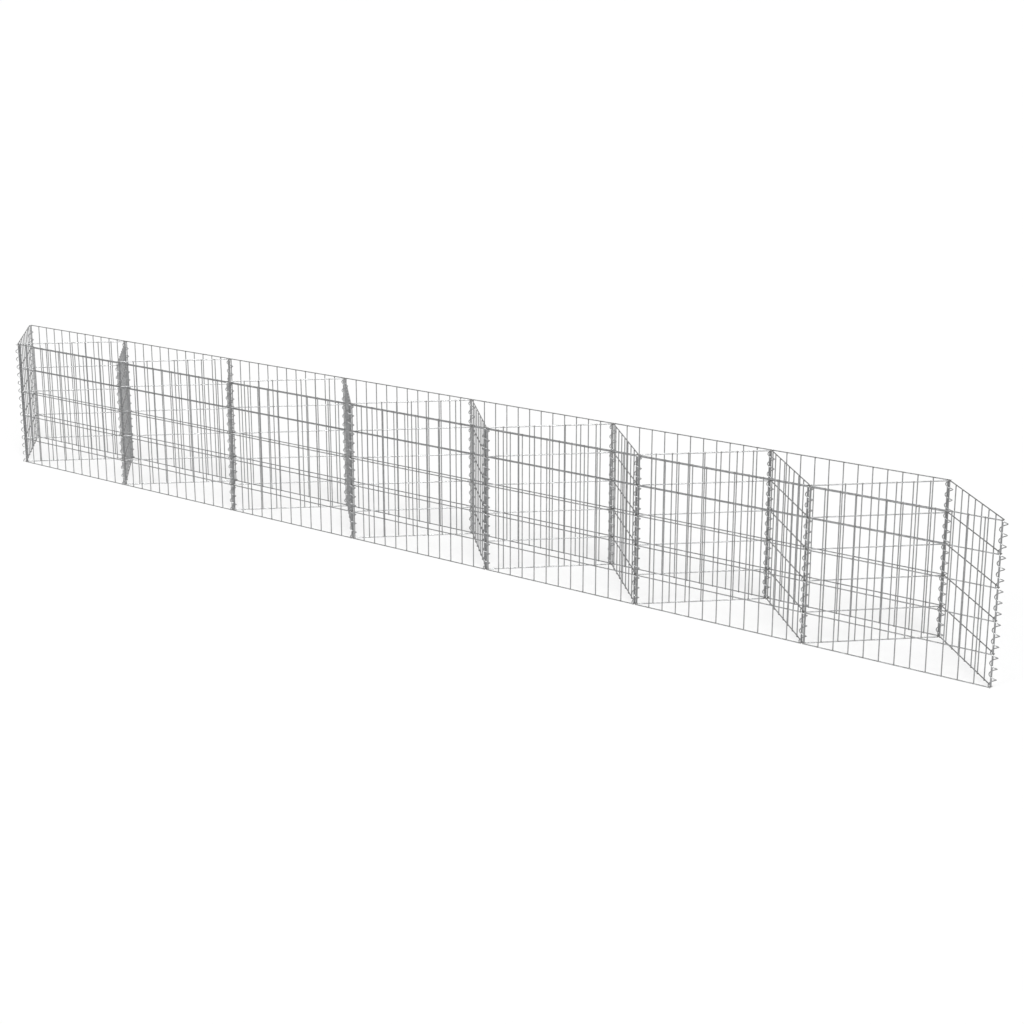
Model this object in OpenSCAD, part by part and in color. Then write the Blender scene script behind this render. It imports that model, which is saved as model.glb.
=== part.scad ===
// Gabion wall of welded wire mesh, empty, with a zigzag of panels between its two faces.
// Spiral binders lace the panels together at every joint.
// X runs along the wall, Y through it from front to back, and Z is up from the ground.

/* [Wall] */
// Number of bays along the wall
bays = 7; // [2:1:7]
// Distance between two joints along a face
bay_length = 600; // [400:10:800]
// Distance between the front joints and the back joints
joint_depth = 300; // [200:10:400]
// Height of the mesh
mesh_height = 490; // [300:10:1000]

/* [Mesh] */
// Diameter of the mesh wire
wire_d = 3.5; // [2.5:0.1:5]
// Number of gaps across a front or back panel
face_gaps = 12; // [6:1:16]
// Number of gaps across a slanted panel
slant_gaps = 8; // [4:1:12]
// Number of rows of openings, one above the other
rows = 5; // [3:1:8]
// Share of the wire diameter that a weld presses together
weld_sink_share = 0.25; // [0.1:0.05:0.4]

/* [Binders] */
// Diameter of the binder's wire
binder_wire_d = 2.8; // [2:0.1:4]
// Room between a binder and the edge wires inside it
binder_room = 2.1; // [0.3:0.1:4]
// Turns of a binder in one row of openings
turns_per_row = 3; // [2:1:3]
// Clearance between the panels that are laced together
lacing_gap = 0.3; // [0.2:0.05:0.6]

/* [Hidden] */
mesh_colour = [0.66, 0.67, 0.68];
binder_colour = [0.60, 0.61, 0.62];

// A wire is an eight-sided bar with the same cross-section area as the round wire.
bar_sides = 8;
bar_r = wire_d / 2 * sqrt(PI / (bar_sides / 2 * sin(360 / bar_sides)));
bar_flat = bar_r * cos(180 / bar_sides);
weld_offset = wire_d * (1 - weld_sink_share);

// Joints: the back row lies half a bay to the left of the front row.
half_bay = bay_length / 2;
wall_length = bays * bay_length + half_bay;
slant_length = norm([half_bay, joint_depth]);
slant_angle = atan2(joint_depth, half_bay);

// A panel's middle plane lies between its upright and its horizontal wires.
// The slanted panels have theirs on the lines from joint to joint, and the faces stand a little outside the joints.
// At a joint the panels end just far enough from its centre to pass beside one another.
face_turn = 40;
slant_spread = 180 - 2 * slant_angle;
slab_gap = 2 * bar_r + lacing_gap;
edge_r = max(
    (weld_offset / 2 + slab_gap) / sin(min(90, slant_angle + face_turn)),
    (weld_offset / 2 * (1 + cos(slant_spread)) + slab_gap) / sin(slant_spread)
);
edge_reach = norm([edge_r, weld_offset / 2]);
face_set = edge_r * sin(face_turn);
face_inset = edge_r * cos(face_turn);

// Rows of horizontal wires, flush with the ends of the upright wires.
row_pitch = (mesh_height - 2 * bar_flat) / rows;
function row_z(r) = bar_flat + r * row_pitch;

// A binder is a left-handed chain of quarter arcs, each tangent to the next, that climbs one pitch a turn.
// It passes each row of horizontal wires on the outer side of its joint, where none are.
arcs_per_turn = 4;
arc_turn = 360 / arcs_per_turn;
binder_start = 85;
binder_r = edge_reach + bar_r + binder_room + binder_wire_d / 2;
binder_pitch = row_pitch / turns_per_row;
arc_rise = binder_pitch / arcs_per_turn;
arc_slope = atan2(arc_rise / 2, binder_r);
arc_sweep = acos(sin(arc_slope) ^ 2);
arc_tilt = atan2(arc_rise, binder_r * sqrt(2));
arc_r = binder_r / cos(arc_slope) / tan(arc_sweep / 2);
arc_centre = binder_r * sqrt(2) - arc_r / cos(arc_sweep / 2);

// Where two arcs meet, a short core of slightly thinner wire runs through both, across a hairline.
core_share = 0.98;
hairline = 0.02;
core_d = core_share * binder_wire_d;
core_length = binder_wire_d / 4;
hairline_sweep = hairline / arc_r * 180 / PI;

function front_joint(i) = [i * bay_length - wall_length / 2 + half_bay, -joint_depth / 2];
function back_joint(i) = [i * bay_length - wall_length / 2, joint_depth / 2];

// One straight wire along Z, with flats facing X and Y.
module wire(length) {
    rotate([0, 0, 180 / bar_sides])
        cylinder(h = length, r = bar_r, $fn = bar_sides);
}

// One flat mesh along X from its first edge wire, with its horizontal wires on the side given as 1 or -1.
module mesh(width, gaps, side) {
    for (k = [0:gaps])
        translate([k * width / gaps, 0, 0])
            wire(mesh_height);
    for (r = [0:rows])
        translate([-bar_flat, side * weld_offset, row_z(r)])
            rotate([0, 90, 0])
                wire(width + 2 * bar_flat);
}

// A panel from one joint to the next along a face, on the outer side of the joints.
module face_panel(joint, outer) {
    color(mesh_colour)
        translate([joint.x + face_inset, joint.y + outer * face_set, 0])
            mesh(bay_length - 2 * face_inset, face_gaps, outer);
}

// A panel from a front joint to a back joint, at the angle given.
module slanted_panel(joint, angle, side) {
    color(mesh_colour)
        translate([joint.x, joint.y, 0])
            rotate([0, 0, angle])
                translate([edge_r, -side * weld_offset / 2, 0])
                    mesh(slant_length - 2 * edge_r, slant_gaps, side);
}

module front_panel(i) {
    face_panel(front_joint(i - 1), -1);
}

module back_panel(i) {
    face_panel(back_joint(i - 1), 1);
}

module cross_panel(joint_number, side) {
    slanted_panel(front_joint(joint_number), 180 - slant_angle, side);
}

module brace_panel(i) {
    slanted_panel(front_joint(i - 1), slant_angle, -1);
}

// A quarter of a turn, from the X axis round to the back of the Y axis and up by one arc rise.
// The core at its start runs back into the arc below.
module binder_arc(first) {
    rotate([0, 0, -arc_turn / 2])
        translate([arc_centre, 0, arc_rise / 2])
            rotate([-arc_tilt, 0, 0]) {
                rotate([0, 0, (hairline_sweep - arc_sweep) / 2])
                    rotate_extrude(angle = arc_sweep - hairline_sweep)
                        translate([arc_r, 0])
                            circle(d = binder_wire_d);
                if (!first)
                    rotate([0, 0, arc_sweep / 2])
                        translate([arc_r, 0, 0])
                            rotate([90, 0, 0])
                                cylinder(h = core_length, d = core_d, center = true);
            }
}

module binder_turn(first) {
    for (k = [0:arcs_per_turn - 1])
        translate([0, 0, k * arc_rise])
            rotate([0, 0, -k * arc_turn])
                binder_arc(first && k == 0);
}

// A spiral round the joint.
module binder(joint, start_angle) {
    color(binder_colour)
        translate([joint.x, joint.y, row_z(0)])
            rotate([0, 0, start_angle])
                for (t = [0:turns_per_row * rows - 1])
                    translate([0, 0, t * binder_pitch])
                        binder_turn(t == 0);
}

module front_binder(i) {
    binder(front_joint(i - 1), binder_start - 180);
}

module back_binder(i) {
    binder(back_joint(i - 1), binder_start);
}

$fn = 32;

for (i = [1:bays]) {
    front_panel(i);
    back_panel(i);
    brace_panel(i);
}
cross_panel(0, 1);  // end_panel_left
cross_panel(bays, -1);  // end_panel_right
for (i = [1:bays - 1])
    cross_panel(i, -1);
for (i = [1:bays + 1]) {
    front_binder(i);
    back_binder(i);
}
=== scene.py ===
import math

import bpy
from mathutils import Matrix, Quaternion, Vector


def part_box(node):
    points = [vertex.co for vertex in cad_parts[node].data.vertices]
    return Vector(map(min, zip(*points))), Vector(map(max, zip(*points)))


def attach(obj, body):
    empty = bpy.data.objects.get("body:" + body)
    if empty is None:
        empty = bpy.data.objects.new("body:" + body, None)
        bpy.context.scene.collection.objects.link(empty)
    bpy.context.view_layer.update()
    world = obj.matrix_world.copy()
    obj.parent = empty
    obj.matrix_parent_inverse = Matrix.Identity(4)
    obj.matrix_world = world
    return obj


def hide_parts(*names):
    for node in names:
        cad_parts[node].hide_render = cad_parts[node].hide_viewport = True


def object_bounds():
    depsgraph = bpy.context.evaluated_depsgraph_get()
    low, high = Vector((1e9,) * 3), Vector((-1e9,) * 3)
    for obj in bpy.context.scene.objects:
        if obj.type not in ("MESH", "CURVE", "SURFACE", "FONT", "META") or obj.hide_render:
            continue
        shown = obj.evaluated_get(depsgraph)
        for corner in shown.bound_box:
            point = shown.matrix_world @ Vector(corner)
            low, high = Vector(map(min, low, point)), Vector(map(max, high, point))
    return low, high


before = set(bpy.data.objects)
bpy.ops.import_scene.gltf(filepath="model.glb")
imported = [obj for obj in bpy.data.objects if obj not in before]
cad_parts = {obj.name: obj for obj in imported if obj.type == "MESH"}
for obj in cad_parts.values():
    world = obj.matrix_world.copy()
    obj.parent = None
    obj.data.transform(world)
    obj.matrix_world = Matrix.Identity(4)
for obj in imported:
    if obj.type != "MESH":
        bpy.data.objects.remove(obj)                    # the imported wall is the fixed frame, in metres
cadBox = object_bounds()
print("frame loaded,", len(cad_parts), "nodes")

# camera first, where the photo was taken from
photoCamera = {
    "place": (4.1999, -4.9018, 1.9170),
    "aim": (0.3955, 0.0610, 0.1432),
    "lens": 66.482,                  # millimetres, on the sensor below
    "sensor": 36.0,
    "roll": 0.028,                   # degrees
}


def addCamera(setup):
    place = Vector(setup["place"])
    bpy.ops.object.camera_add(location=place)
    camera = bpy.context.object
    camera.name = "photoCamera"
    camera.data.lens = setup["lens"]
    camera.data.sensor_width = setup["sensor"]
    look = (Vector(setup["aim"]) - place).to_track_quat("-Z", "Y")
    camera.rotation_mode = "QUATERNION"
    camera.rotation_quaternion = look @ Quaternion((0, 0, 1), math.radians(setup["roll"]))
    bpy.context.scene.camera = camera


addCamera(photoCamera)
print("camera set")


# helpers for working by operator

def clearSelection():
    if bpy.context.mode != "OBJECT":
        bpy.ops.object.mode_set(mode="OBJECT")
    bpy.ops.object.select_all(action="DESELECT")


def makeActive(piece):
    clearSelection()
    piece.select_set(True)
    bpy.context.view_layer.objects.active = piece


def pickVertices(piece, wanted):     # leaves the piece in edit mode with those vertices selected
    makeActive(piece)
    bpy.ops.object.mode_set(mode="EDIT")
    bpy.ops.mesh.select_mode(type="VERT")
    bpy.ops.mesh.select_all(action="DESELECT")
    bpy.ops.object.mode_set(mode="OBJECT")
    for vertex in piece.data.vertices:
        vertex.select = wanted(vertex.co)
    bpy.ops.object.mode_set(mode="EDIT")


def applyModifier(piece, kind, settings):
    makeActive(piece)
    modifier = piece.modifiers.new(kind.lower(), kind)
    for name, value in settings.items():
        setattr(modifier, name, value)
    bpy.ops.object.modifier_apply(modifier=modifier.name)


def repeat(piece, count, step):
    applyModifier(piece, "ARRAY", {
        "count": count,
        "use_relative_offset": False,
        "use_constant_offset": True,
        "constant_offset_displace": step,
    })


def settle(piece):                   # place and turn go into the mesh
    makeActive(piece)
    bpy.ops.object.transform_apply(location=True, rotation=True, scale=True)


def joinPieces(pieces, name):
    makeActive(pieces[0])
    for piece in pieces[1:]:
        piece.select_set(True)
    bpy.ops.object.join()
    pieces[0].name = name
    return pieces[0]


def setHeat(piece, heatAt):          # how much of a weld's heat each vertex took
    heat = piece.data.attributes.new("weldHeat", "FLOAT", "POINT")
    heat.data.foreach_set("value", [heatAt(vertex.co) for vertex in piece.data.vertices])


smoothAngle = math.radians(40)
hairShare = 1e-3                     # of a wire's radius, for picking and merging vertices

# mesh panels of welded wire
meshPanel = {
    "wireDiameter": 0.0035,
    "wireSides": 16,
    "faceGaps": 12,                  # gaps across a front or back panel
    "slantGaps": 8,                  # gaps across a slanted panel
    "rows": 5,
    "weldSinkShare": 0.25,           # share of the wire that a weld presses together
    "weldReach": 0.0042,             # length of wire on each side that a weld marks
    "weldWidening": 1.04,            # a pressed wire is wider across the panel
    "weldFlattening": 0.95,          # and thinner through it
    "endChamfer": 0.0004,
    "edgeRadius": 0.00532,           # from a joint to where the slanted panels end
}
wireRadius = meshPanel["wireDiameter"] / 2
wireOffset = meshPanel["wireDiameter"] * (1 - meshPanel["weldSinkShare"])
panelHeight = cadBox[1].z - cadBox[0].z
rowPitch = (panelHeight - meshPanel["wireDiameter"]) / meshPanel["rows"]
rowLevels = [wireRadius + row * rowPitch for row in range(meshPanel["rows"] + 1)]


# one straight wire along Z from the origin, pressed where it is welded
def makeWire(name, length, welds):
    clearSelection()
    bpy.ops.mesh.primitive_cylinder_add(
        vertices=meshPanel["wireSides"], radius=wireRadius, depth=length,
        end_fill_type="NGON", location=(0, 0, length / 2))
    wire = bpy.context.object
    wire.name = name
    settle(wire)
    tiny = wireRadius * hairShare
    chamfer = meshPanel["endChamfer"]
    reach = meshPanel["weldReach"]

    for end in (0, length):          # one at a time, so the long edges aren't selected
        pickVertices(wire, lambda co: abs(co.z - end) < tiny)
        bpy.ops.mesh.bevel(offset=chamfer, segments=1, affect="EDGES")
    for weld in welds:
        for level in (weld - reach, weld, weld + reach):
            if chamfer < level < length - chamfer:
                bpy.ops.mesh.select_all(action="SELECT")
                bpy.ops.mesh.bisect(plane_co=(0, 0, level), plane_no=(0, 0, 1))

    pickVertices(wire, lambda co: min(abs(co.z - weld) for weld in welds) < tiny)
    pressed = (meshPanel["weldWidening"], meshPanel["weldFlattening"], 1)
    bpy.ops.transform.resize(value=pressed, center_override=(0, 0, 0))
    makeActive(wire)
    bpy.ops.object.shade_smooth_by_angle(angle=smoothAngle)
    setHeat(wire, lambda co: max(0, 1 - min(abs(co.z - weld) for weld in welds) / reach))
    return wire


# the metal that a weld squeezes out between two crossing wires
weldFlash = {
    "segments": 8,
    "rings": 6,
    "halfWidth": 0.0017,
    "halfDepth": 0.0010,
    "cornerShare": 1.3,              # it swells most in the corners between the wires
    "cornerWidth": 0.01,             # what counts as a corner, on a ball of radius 1
    "poleHeight": 0.9,               # and as a pole
    "unevenness": 0.00012,
    "seed": 7,
}


def makeWeldFlash():
    clearSelection()
    bpy.ops.mesh.primitive_uv_sphere_add(
        segments=weldFlash["segments"], ring_count=weldFlash["rings"], radius=1,
        rotation=(math.pi / 2, 0, 0))
    flash = bpy.context.object
    flash.name = "weldFlash"
    settle(flash)
    width, height = weldFlash["cornerWidth"], weldFlash["poleHeight"]
    pickVertices(flash, lambda co: abs(abs(co.x) - abs(co.z)) < width and abs(co.y) < height)
    share = weldFlash["cornerShare"]
    bpy.ops.transform.resize(value=(share, 1, share), center_override=(0, 0, 0))
    bpy.ops.mesh.select_all(action="SELECT")
    size = (weldFlash["halfWidth"], weldFlash["halfDepth"], weldFlash["halfWidth"])
    bpy.ops.transform.resize(value=size, center_override=(0, 0, 0))
    makeActive(flash)
    bpy.ops.object.shade_smooth()
    setHeat(flash, lambda co: 1.0)
    return flash


# a whole panel along X from its first upright, with its rails on the -Y side
def makePanel(name, span, gaps):
    gap = span / gaps
    upright = makeWire(name + "Upright", panelHeight, rowLevels)
    repeat(upright, gaps + 1, (gap, 0, 0))

    crossings = [wireRadius + k * gap for k in range(gaps + 1)]
    rail = makeWire(name + "Rail", span + 2 * wireRadius, crossings)
    rail.rotation_euler = (0, math.pi / 2, 0)
    rail.location = (-wireRadius, -wireOffset, rowLevels[0])
    settle(rail)
    repeat(rail, meshPanel["rows"] + 1, (0, 0, rowPitch))

    flash = makeWeldFlash()
    flash.location = (0, -wireOffset / 2, rowLevels[0])
    settle(flash)
    repeat(flash, gaps + 1, (gap, 0, 0))
    repeat(flash, meshPanel["rows"] + 1, (0, 0, rowPitch))
    pickVertices(flash, lambda co: True)
    bpy.ops.transform.vertex_random(offset=weldFlash["unevenness"], seed=weldFlash["seed"])
    return joinPieces([upright, rail, flash], name)


# spiral binders that lace the panels together
spiralBinder = {
    "wireDiameter": 0.0028,
    "wireSides": 10,
    "turnsPerRow": 3,
    "stepsPerTurn": 24,
    "startAngle": 85,                # degrees, at a back joint
    "endChamfer": 0.0004,
}
binderTurns = spiralBinder["turnsPerRow"] * meshPanel["rows"]
binderPitch = rowPitch / spiralBinder["turnsPerRow"]


# a left-handed coil round Z that starts on the X axis
def makeBinder(name, outerRadius):
    coilWire = spiralBinder["wireDiameter"] / 2
    coilRadius = outerRadius - coilWire
    slope = math.atan2(binderPitch, 2 * math.pi * coilRadius)
    clearSelection()
    bpy.ops.mesh.primitive_circle_add(
        vertices=spiralBinder["wireSides"], radius=coilWire,
        location=(coilRadius, 0, 0), rotation=(math.pi / 2 - slope, 0, 0))
    coil = bpy.context.object
    coil.name = name
    settle(coil)
    applyModifier(coil, "SCREW", {
        "axis": "Z",
        "angle": -2 * math.pi,
        "screw_offset": binderPitch,
        "iterations": binderTurns,
        "steps": spiralBinder["stepsPerTurn"],
        "render_steps": spiralBinder["stepsPerTurn"],
    })
    pickVertices(coil, lambda co: True)
    bpy.ops.mesh.remove_doubles(threshold=coilWire * hairShare)
    bpy.ops.mesh.fill_holes(sides=spiralBinder["wireSides"])
    bpy.ops.mesh.select_mode(type="FACE")
    bpy.ops.mesh.select_all(action="DESELECT")
    bpy.ops.mesh.select_face_by_sides(number=spiralBinder["wireSides"])
    bpy.ops.mesh.bevel(offset=spiralBinder["endChamfer"], segments=1, affect="EDGES")
    bpy.ops.mesh.select_all(action="SELECT")
    bpy.ops.mesh.normals_make_consistent(inside=False)
    makeActive(coil)
    bpy.ops.object.shade_smooth_by_angle(angle=smoothAngle)
    return coil


# a socket that takes part in sums, and adds any other node
class Shade:
    def __init__(self, tree, socket=None):
        self.tree = tree
        self.socket = socket

    def add(self, kind, settings, values, output=0):
        made = self.tree.nodes.new(kind)
        for name, value in settings.items():
            setattr(made, name, value)
        for name, value in values.items():
            if isinstance(value, Shade):
                self.tree.links.new(value.socket, made.inputs[name])
            else:
                made.inputs[name].default_value = value
        return Shade(self.tree, made.outputs[output] if made.outputs else None)

    def sum(self, operation, first, second):
        return self.add("ShaderNodeMath", {"operation": operation}, {0: first, 1: second})

    def __add__(self, other):
        return self.sum("ADD", self, other)

    def __sub__(self, other):
        return self.sum("SUBTRACT", self, other)

    def __rsub__(self, other):
        return self.sum("SUBTRACT", other, self)

    def __mul__(self, other):
        return self.sum("MULTIPLY", self, other)

    __radd__ = __add__
    __rmul__ = __mul__

    def mix(self, share, first, second):         # colours
        settings = {"data_type": "RGBA"}
        return self.add("ShaderNodeMix", settings, {0: share, 6: first, 7: second}, output=2)


def newTree(owner):
    owner.use_nodes = True
    owner.node_tree.nodes.clear()
    return Shade(owner.node_tree)


# galvanised wire, dull grey with zinc crystals, a pale bloom in spots and burnt welds
meshZinc = {
    "bright": (0.33, 0.333, 0.336, 1),
    "dull": (0.2, 0.203, 0.206, 1),
    "bloom": (0.48, 0.485, 0.49, 1),
    "bloomShare": 0.35,
    "bloomRange": (0.52, 0.68),      # of the noise, from no bloom to full bloom
    "burnt": (0.16, 0.153, 0.146, 1),
    "burntShare": 0.7,
    "metallic": 0.85,
    "roughness": 0.38,
    "crystalRoughness": 0.16,        # spread from crystal to crystal
    "bloomRoughness": 0.12,
    "burntRoughness": 0.1,
    "patchScale": 14,                # cloudy patches, per metre
    "crystalScale": 280,             # zinc crystals, per metre
    "bloomScale": 55,                # spots of bloom, per metre
    "crystalShare": 0.5,             # crystals against patches
    "crystalHeight": 0.4,            # in the bump, against patches
    "bloomHeight": 0.3,
    "bumpStrength": 0.25,
    "bumpDepth": 0.0003,
    "specular": 0.3,
}
binderZinc = dict(meshZinc, bright=(0.38, 0.383, 0.386, 1), dull=(0.25, 0.253, 0.256, 1))


def makeZinc(name, look):
    material = bpy.data.materials.new(name)
    sheet = newTree(material)
    place = sheet.add("ShaderNodeTexCoord", {}, {}, output="Object")
    patches = sheet.add("ShaderNodeTexNoise", {}, {
        "Vector": place, "Scale": look["patchScale"], "Detail": 4.0, "Roughness": 0.6})
    crystals = sheet.add("ShaderNodeTexVoronoi", {}, {
        "Vector": place, "Scale": look["crystalScale"]}, output="Color")
    crystal = sheet.add("ShaderNodeSeparateColor", {}, {"Color": crystals})
    spots = sheet.add("ShaderNodeTexNoise", {}, {
        "Vector": place, "Scale": look["bloomScale"], "Detail": 5.0, "Roughness": 0.65})
    none, full = look["bloomRange"]
    bloom = sheet.add("ShaderNodeMapRange", {}, {
        "Value": spots, "From Min": none, "From Max": full})
    heat = sheet.add("ShaderNodeAttribute", {"attribute_name": "weldHeat"}, {}, output="Fac")

    cloudy = patches * (1 - look["crystalShare"]) + crystal * look["crystalShare"]
    zinc = sheet.mix(cloudy, look["dull"], look["bright"])
    bloomed = sheet.mix(bloom * look["bloomShare"], zinc, look["bloom"])
    colour = sheet.mix(heat * look["burntShare"], bloomed, look["burnt"])
    rough = look["roughness"] + (crystal - 0.5) * look["crystalRoughness"]
    rough = rough + bloom * look["bloomRoughness"] + heat * look["burntRoughness"]
    relief = crystal * look["crystalHeight"] + patches + bloom * look["bloomHeight"]
    bump = sheet.add("ShaderNodeBump", {}, {
        "Height": relief, "Strength": look["bumpStrength"], "Distance": look["bumpDepth"]})
    surface = sheet.add("ShaderNodeBsdfPrincipled", {}, {
        "Base Color": colour,
        "Metallic": look["metallic"],
        "Roughness": rough,
        "Specular IOR Level": look["specular"],
        "Normal": bump,
    })
    sheet.add("ShaderNodeOutputMaterial", {}, {"Surface": surface})
    return material


meshFinish = makeZinc("galvanisedMesh", meshZinc)
binderFinish = makeZinc("galvanisedBinder", binderZinc)
print("finishes made")


# copies go to their places in the wall
def placeCopy(pattern, node, start, angle, finish):
    makeActive(pattern)
    bpy.ops.object.duplicate(linked=False)
    piece = bpy.context.object
    piece.name = node + "_wire"
    piece.data.name = piece.name
    piece.rotation_euler = (0, 0, angle)
    piece.location = start
    settle(piece)
    piece.data.materials.clear()
    piece.data.materials.append(finish)
    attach(piece, "root")
    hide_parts(node)


def nodeCount(prefix):
    return sum(name.startswith(prefix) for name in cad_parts)


def jointOf(node):                   # a binder's axis, at ground level
    low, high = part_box(node)
    return Vector(((low.x + high.x) / 2, (low.y + high.y) / 2, 0))


bays = nodeCount("front_panel_")
frontJoints = [jointOf(f"front_binder_{i + 1}") for i in range(bays + 1)]
backJoints = [jointOf(f"back_binder_{i + 1}") for i in range(bays + 1)]

faceLow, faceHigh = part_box("front_panel_1")
facePattern = makePanel("facePanel", faceHigh.x - faceLow.x - 2 * wireRadius, meshPanel["faceGaps"])
slantSpan = (backJoints[1] - frontJoints[1]).length - 2 * meshPanel["edgeRadius"]
slantPattern = makePanel("slantPanel", slantSpan, meshPanel["slantGaps"])
print("panel patterns made")


def placeFace(node, angle):
    low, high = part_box(node)
    inward = wireRadius + wireOffset
    if angle == 0:
        start = Vector((low.x + wireRadius, low.y + inward, 0))
    else:
        start = Vector((high.x - wireRadius, high.y - inward, 0))
    placeCopy(facePattern, node, start, angle, meshFinish)


def placeSlant(node, first, last):   # the rails are on the right, going from first to last
    along = (last - first).normalized()
    left = Vector((-along.y, along.x, 0))
    start = first + along * meshPanel["edgeRadius"] + left * wireOffset / 2
    placeCopy(slantPattern, node, start, math.atan2(along.y, along.x), meshFinish)


for i in range(1, bays + 1):
    placeFace(f"front_panel_{i}", 0)
    placeFace(f"back_panel_{i}", math.pi)
    placeSlant(f"brace_panel_{i}", frontJoints[i - 1], backJoints[i])
for i in range(1, bays):
    placeSlant(f"cross_panel_{i}", frontJoints[i], backJoints[i])
placeSlant("end_panel_left", backJoints[0], frontJoints[0])
placeSlant("end_panel_right", frontJoints[bays], backJoints[bays])
print("panels placed")

binderLow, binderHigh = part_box("front_binder_1")
binderPattern = makeBinder("binder", (binderHigh.x - binderLow.x) / 2)
binderStart = (binderLow.z + binderHigh.z - binderTurns * binderPitch) / 2
backAngle = math.radians(spiralBinder["startAngle"])
binderRows = (
    ("front_binder_", frontJoints, backAngle - math.pi),
    ("back_binder_", backJoints, backAngle),
)
for prefix, joints, angle in binderRows:
    for i, joint in enumerate(joints, 1):
        start = joint + Vector((0, 0, binderStart))
        placeCopy(binderPattern, f"{prefix}{i}", start, angle, binderFinish)
for pattern in (facePattern, slantPattern, binderPattern):
    makeActive(pattern)
    bpy.ops.object.delete()
print("binders placed")


# a pale floor and soft light
studio = {
    "floorSize": 2000,
    "floorColour": (0.93, 0.93, 0.93, 1),
    "white": (1, 1, 1, 1),
    "glowShare": 0.85,               # how much of the white the camera sees without light
    "glow": 0.878,                   # with the lamps' light the floor comes to 1
    "ambient": 0.05,                 # light from all round
    "paleTo": 0.27,                  # the surround is white up to here, as the sine of its height
    "darkFrom": 0.36,                # and dark from here up
    "lampDistance": 10,
    "lamps": {                       # far off, so their light is even, and wide, so it is soft
        "keyLamp": {"turn": 45, "rise": 60, "spread": 17, "strength": 3.9},
        "sideLamp": {"turn": 60, "rise": 45, "spread": 17, "strength": 1.5},
        "railLamp": {"turn": -10, "rise": 40, "spread": 17, "strength": 2},
    },
}


# rays that show a background: straight, mirrored or through glass
def seenRays(sheet):
    path = sheet.add("ShaderNodeLightPath", {}, {}, output="Is Camera Ray")
    rays = path.socket.node.outputs
    glossy = Shade(sheet.tree, rays["Is Glossy Ray"])
    through = Shade(sheet.tree, rays["Is Transmission Ray"])
    return sheet.sum("MINIMUM", path + glossy + through, 1.0)


def addFloor():
    clearSelection()
    bpy.ops.mesh.primitive_plane_add(size=studio["floorSize"], location=(0, 0, cadBox[0].z))
    floor = bpy.context.object
    floor.name = "floor"
    settle(floor)
    material = bpy.data.materials.new("paleFloor")
    sheet = newTree(material)
    lit = sheet.add("ShaderNodeBsdfDiffuse", {}, {"Color": studio["floorColour"]})
    glow = sheet.add("ShaderNodeEmission", {}, {
        "Color": studio["white"], "Strength": studio["glow"]})
    share = seenRays(sheet) * studio["glowShare"]
    surface = sheet.add("ShaderNodeMixShader", {}, {0: share, 1: lit, 2: glow})
    sheet.add("ShaderNodeOutputMaterial", {}, {"Surface": surface})
    floor.data.materials.append(material)


def addWorld():
    world = bpy.data.worlds.new("studio")
    bpy.context.scene.world = world
    sheet = newTree(world)
    towards = sheet.add("ShaderNodeTexCoord", {}, {}, output="Generated")
    height = sheet.add("ShaderNodeSeparateXYZ", {}, {"Vector": towards}, output="Z")
    fade = (studio["darkFrom"] - height) * (1 / (studio["darkFrom"] - studio["paleTo"]))
    pale = sheet.sum("MINIMUM", sheet.sum("MAXIMUM", fade, 0.0), 1.0)
    strength = studio["ambient"] + seenRays(sheet) * pale * (1 - studio["ambient"])
    sky = sheet.add("ShaderNodeBackground", {}, {
        "Color": studio["white"], "Strength": strength})
    sheet.add("ShaderNodeOutputWorld", {}, {"Surface": sky})


# turn is from the front round to the right
def addLamp(name, turn, rise, spread, strength):
    turn, rise = math.radians(turn), math.radians(rise)
    level = Vector((math.sin(turn), -math.cos(turn), 0))
    towards = level * math.cos(rise) + Vector((0, 0, math.sin(rise)))
    clearSelection()
    bpy.ops.object.light_add(type="SUN", location=towards * studio["lampDistance"])
    lamp = bpy.context.object
    lamp.name = name
    lamp.data.angle = math.radians(spread)
    lamp.data.energy = strength
    lamp.rotation_mode = "QUATERNION"
    lamp.rotation_quaternion = (-towards).to_track_quat("-Z", "Y")


addFloor()
addWorld()
for name, lamp in studio["lamps"].items():
    addLamp(name, **lamp)
bpy.context.scene.view_settings.view_transform = "Standard"
print("studio set")
